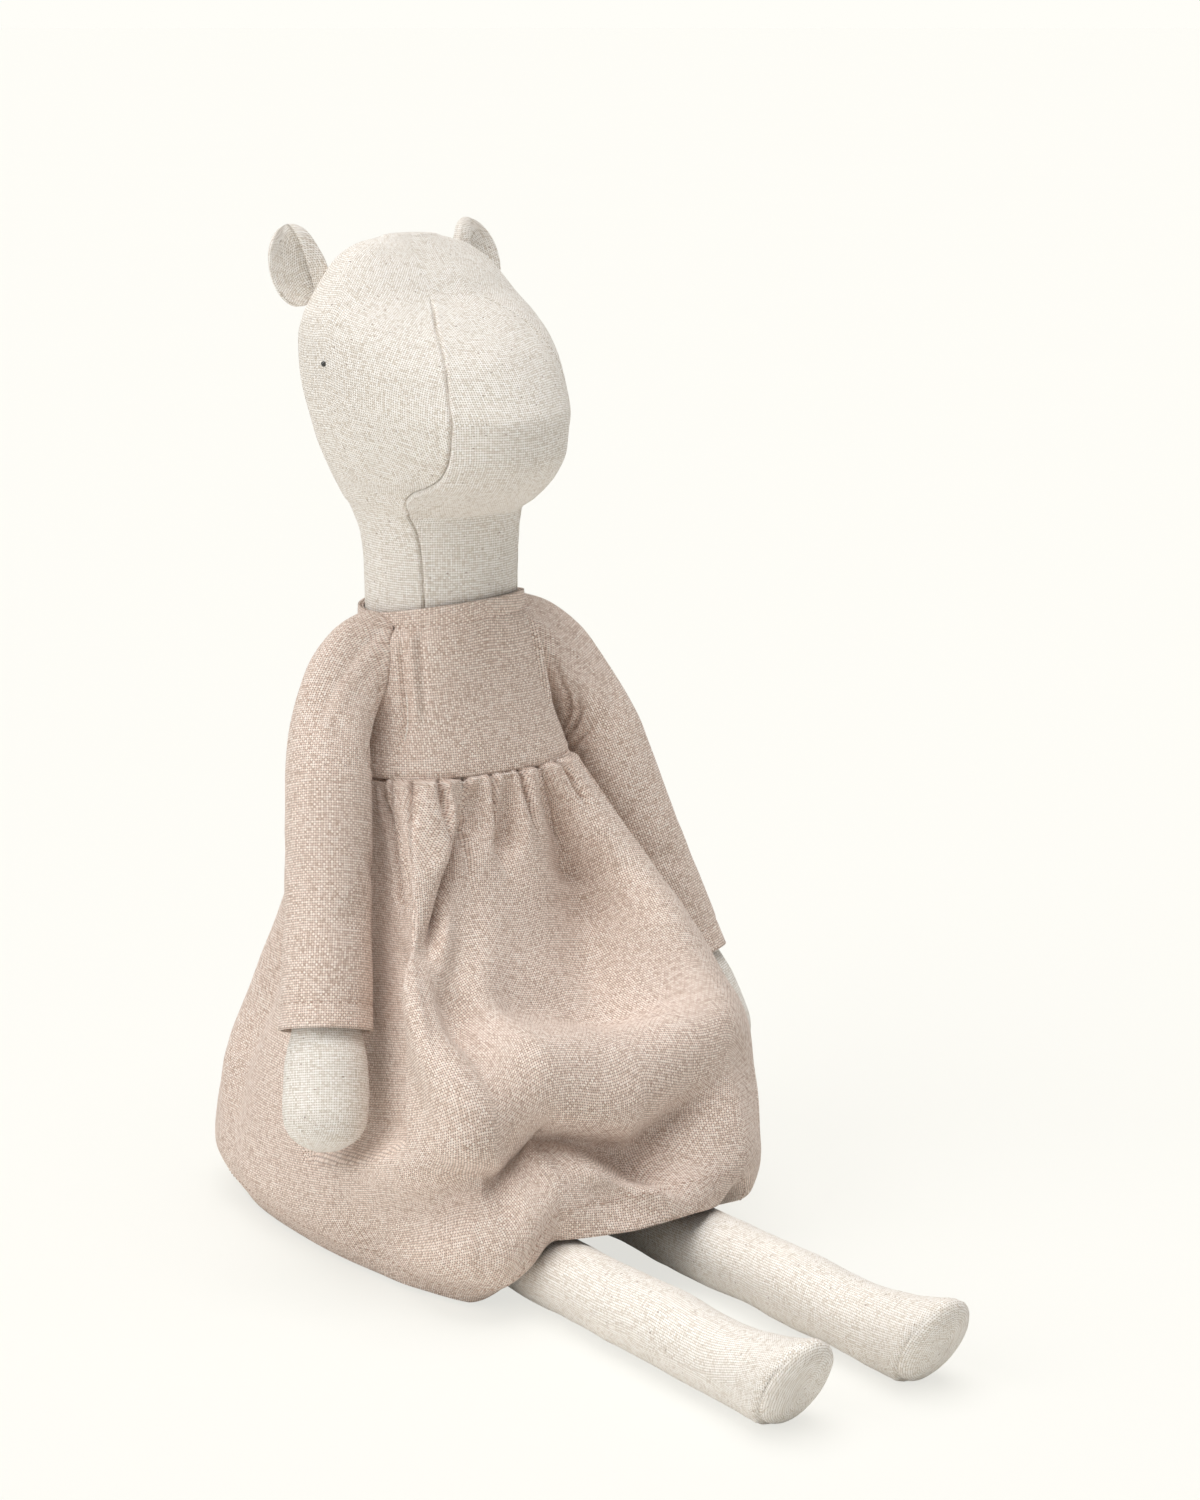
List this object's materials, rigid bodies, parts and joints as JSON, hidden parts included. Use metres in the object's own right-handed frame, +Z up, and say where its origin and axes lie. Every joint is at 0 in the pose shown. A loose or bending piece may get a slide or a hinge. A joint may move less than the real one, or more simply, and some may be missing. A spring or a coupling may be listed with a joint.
{
  "type": "stuffed linen animal doll",
  "caption": "Seated stuffed linen hippopotamus doll in a long-sleeved dress with a gathered skirt; the arms swing at the shoulders and the legs fold at the hips.",
  "frame": {"origin": "on the flat of the seat, midway between the doll's sides, under the middle of the torso", "axes": "the doll faces -Y, its left side is +X, +Z is up"},
  "size_m": [0.1608, 0.2859, 0.2979],
  "materials": {
    "natural_linen": "natural flecked linen, plain weave",
    "dress_linen": "dusty pink linen, plain weave",
    "stuffing": "loose fibre",
    "seam_thread": "stitched thread",
    "eye_bead": "polished",
    "button_wood": "smooth, unvarnished"
  },
  "bodies": {
    "torso": {"torso_cover": "natural_linen", "torso_filling": "stuffing", "head_cover": "natural_linen", "head_filling": "stuffing", "ear_left": "natural_linen", "ear_right": "natural_linen", "eye_left": "eye_bead", "eye_right": "eye_bead", "shoulder_seam_left": "seam_thread", "shoulder_seam_right": "seam_thread", "bodice_front": "dress_linen", "bodice_back_left": "dress_linen", "bodice_back_right": "dress_linen", "neck_facing": "dress_linen", "skirt_back": "dress_linen", "back_button": "button_wood", "button_loop": "dress_linen"},
    "arm_left": {"arm_left_cover": "natural_linen", "arm_left_filling": "stuffing", "sleeve_left": "dress_linen"},
    "arm_right": {"arm_right_cover": "natural_linen", "arm_right_filling": "stuffing", "sleeve_right": "dress_linen"},
    "lap": {"hip_seam": "seam_thread", "skirt_front": "dress_linen"},
    "leg_left": {"leg_left_cover": "natural_linen", "leg_left_filling": "stuffing", "foot_sole_left": "natural_linen"},
    "leg_right": {"leg_right_cover": "natural_linen", "leg_right_filling": "stuffing", "foot_sole_right": "natural_linen"}
  },
  "joints": [
    {"name": "shoulder_left_swing", "type": "hinge", "parent": "torso", "child": "arm_left", "pos_m": [0.036, -0.012, 0.17], "axis": [-1, 0, 0], "range_deg": [-35, 75], "deforming": ["sleeve_left"]},
    {"name": "shoulder_right_swing", "type": "hinge", "parent": "torso", "child": "arm_right", "pos_m": [-0.036, -0.012, 0.17], "axis": [-1, 0, 0], "range_deg": [-35, 75], "deforming": ["sleeve_right"]},
    {"name": "lap_lift", "type": "hinge", "parent": "torso", "child": "lap", "pos_m": [0, -0.031, 0.01], "axis": [-1, 0, 0], "range_deg": [0, 25], "deforming": ["skirt_front"]},
    {"name": "hip_left_swing", "type": "hinge", "parent": "lap", "child": "leg_left", "pos_m": [0.0235, -0.031, 0.01], "axis": [-1, 0, 0], "range_deg": [-100, 0]},
    {"name": "hip_right_swing", "type": "hinge", "parent": "lap", "child": "leg_right", "pos_m": [-0.0235, -0.031, 0.01], "axis": [-1, 0, 0], "range_deg": [-100, 0]}
  ]
}
